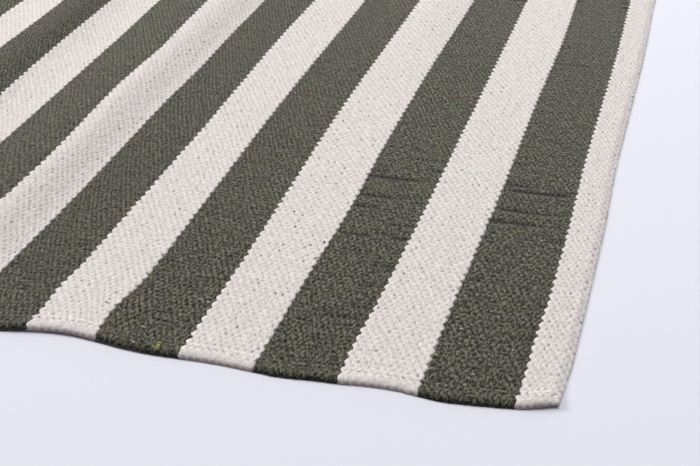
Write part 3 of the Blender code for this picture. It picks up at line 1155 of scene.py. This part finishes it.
# %% Lint
Lint = namedtuple("Lint", "across along length radius turn colour")
LINT = (
    Lint(0.2374, 0.0050, 0.0050, 0.0010, 1.5, (0.50, 0.45, 0.12, 1.0)),
    Lint(0.2381, 0.0090, 0.0034, 0.0008, 0.4, (0.42, 0.40, 0.16, 1.0)),
    Lint(0.2581, 0.4043, 0.0050, 0.0009, 0.3, (0.28, 0.10, 0.07, 1.0)),
    Lint(0.1414, 0.4283, 0.0060, 0.0010, 0.5, (0.20, 0.11, 0.08, 1.0)),
    Lint(0.3932, 0.4923, 0.0030, 0.0007, 0.2, (0.16, 0.13, 0.11, 1.0)),
    Lint(0.2107, 0.1959, 0.0028, 0.0007, 0.9, (0.24, 0.18, 0.14, 1.0)),
    Lint(0.1795, 0.1583, 0.0034, 0.0008, 1.4, (0.10, 0.08, 0.07, 1.0)),
    Lint(0.2849, 0.0391, 0.0030, 0.0007, 0.4, (0.28, 0.20, 0.15, 1.0)),
    Lint(0.1782, 0.1357, 0.0082, 0.0004, -0.9, (0.07, 0.05, 0.04, 1.0)),
    Lint(0.2538, 0.0225, 0.0030, 0.0008, 0.1, (0.58, 0.56, 0.50, 1.0)),
    Lint(0.2271, 0.0627, 0.0030, 0.0008, 0.2, (0.62, 0.60, 0.54, 1.0)),
    Lint(0.2332, 0.0650, 0.0044, 0.0005, 0.1, (0.58, 0.56, 0.50, 1.0)),
    Lint(0.2338, 0.0469, 0.0030, 0.0007, 0.9, (0.34, 0.35, 0.14, 1.0)),
    Lint(0.2529, 0.0040, 0.0026, 0.0007, 0.6, (0.58, 0.56, 0.50, 1.0)),
    Lint(0.0711, 0.0958, 0.0030, 0.0006, 1.2, (0.40, 0.38, 0.32, 1.0)),
    Lint(0.0665, 0.0730, 0.0034, 0.0006, 0.1, (0.62, 0.60, 0.52, 1.0)),
    Lint(0.0743, 0.0403, 0.0044, 0.0011, 0.8, (0.30, 0.32, 0.18, 1.0)),
    Lint(0.0642, 0.0565, 0.0026, 0.0006, 0.4, (0.40, 0.38, 0.34, 1.0)),
    Lint(0.0339, 0.0574, 0.0024, 0.0006, 1.9, (0.62, 0.60, 0.52, 1.0)),
    Lint(0.0631, 0.0282, 0.0022, 0.0005, 0.3, (0.58, 0.56, 0.50, 1.0)),
    Lint(0.0513, 0.0273, 0.0024, 0.0006, 0.2, (0.62, 0.60, 0.52, 1.0)),
    Lint(0.0529, 0.0235, 0.0024, 0.0005, 0.8, (0.58, 0.56, 0.50, 1.0)),
    Lint(0.0536, 0.0160, 0.0022, 0.0005, 0.5, (0.50, 0.48, 0.42, 1.0)),
    Lint(0.1147, 0.1003, 0.0020, 0.0005, 0.8, (0.30, 0.24, 0.18, 1.0)),
    Lint(0.0385, 0.1964, 0.0024, 0.0006, 0.2, (0.62, 0.60, 0.52, 1.0)),
)
LINT_SINK = 0.0004
LINT_HEIGHT = 0.0004

lint = {name: np.array([getattr(row, name) for row in LINT]) for name in Lint._fields}
lint_centre, lint_left, lint_up = cloth_top(lint["across"], lint["along"])
lint_ahead = np.cross(lint_left, lint_up)
turn = lint["turn"][:, None]
caught_lint = threads(
    "caught_lint",
    lint_centre - LINT_SINK * lint_up,
    np.cos(turn) * lint_left + np.sin(turn) * lint_ahead,
    lint_up,
    lint["length"],
    lint["radius"],
    np.full(len(LINT), LINT_HEIGHT),
)
lint_colour = np.repeat(lint["colour"], THREAD_STEPS * THREAD_SIDES, axis=0).astype(np.float32)
colour_layer = caught_lint.data.attributes.new("lint_colour", "FLOAT_COLOR", "POINT")
colour_layer.data.foreach_set("color", lint_colour.ravel())
print(len(LINT), "tufts of lint")

# %% [markdown]
# Sewing thread is smoother than the rug's yarn and catches a little light. Lint is fluffy, so its bump is
# coarse for its size.

# %% Thread and lint materials
THREAD_COLOUR = (0.24, 0.21, 0.18, 1.0)
THREAD_DARK = (0.13, 0.11, 0.09, 1.0)
THREAD_ROUGHNESS = 0.7
THREAD_GRAIN = 1800.0
THREAD_GRAIN_HEIGHT = 0.0001
THREAD_GRAIN_STRENGTH = 0.7
THREAD_DARK_BAND = (0.4, 0.8)
LINT_ROUGHNESS = 0.95
LINT_GRAIN = 1500.0
LINT_GRAIN_HEIGHT = 0.0005
LINT_GRAIN_STRENGTH = 0.9

thread_material, thread_shader, thread_tree = new_material("sewing_thread", THREAD_ROUGHNESS)
thread_place = thread_tree.node("ShaderNodeTexCoord", None, None, "Object")
thread_grain = thread_place.noise(THREAD_GRAIN, 2.0)
thread_colour = thread_tree.colour(THREAD_COLOUR)
thread_colour = thread_colour.mixed(THREAD_DARK, thread_grain.between(*THREAD_DARK_BAND))
plug(thread_colour, thread_shader, "Base Color")
plug((thread_grain * THREAD_GRAIN_HEIGHT).bump(THREAD_GRAIN_STRENGTH), thread_shader, "Normal")
hem_stitches.data.materials.append(thread_material)

lint_material, lint_shader, lint_tree = new_material("lint", LINT_ROUGHNESS)
lint_own = lint_tree.node("ShaderNodeAttribute", {"attribute_name": "lint_colour"}, None, "Color")
lint_place = lint_tree.node("ShaderNodeTexCoord", None, None, "Object")
lint_grain = lint_place.noise(LINT_GRAIN, 3.0, 0.7)
plug(lint_own.times(0.6 + lint_grain * 0.8), lint_shader, "Base Color")
plug((lint_grain * LINT_GRAIN_HEIGHT).bump(LINT_GRAIN_STRENGTH), lint_shader, "Normal")
caught_lint.data.materials.append(lint_material)
print("materials:", len(bpy.data.materials))

# %% [markdown]
# The rug in its frame
#
# Every band rides on the rug's one body and stands for the imported solid, which is hidden. The stitches
# and the lint ride on it too.

# %% Frame
for band, piece in zip(BANDS, band_pieces):
    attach(piece, "root")
    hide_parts("rug")
for piece in (hem_stitches, caught_lint):
    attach(piece, "root")
print("declared", len(band_pieces), "bands")

# %% [markdown]
# The last step prints the finished rug's box beside the imported one.

# %% Size
shown_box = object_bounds()
boxes = {"cad": [list(corner) for corner in cad_box], "visual": [list(corner) for corner in shown_box]}
for name, (low, high) in boxes.items():
    print(name, [round(top - bottom, 4) for bottom, top in zip(low, high)])
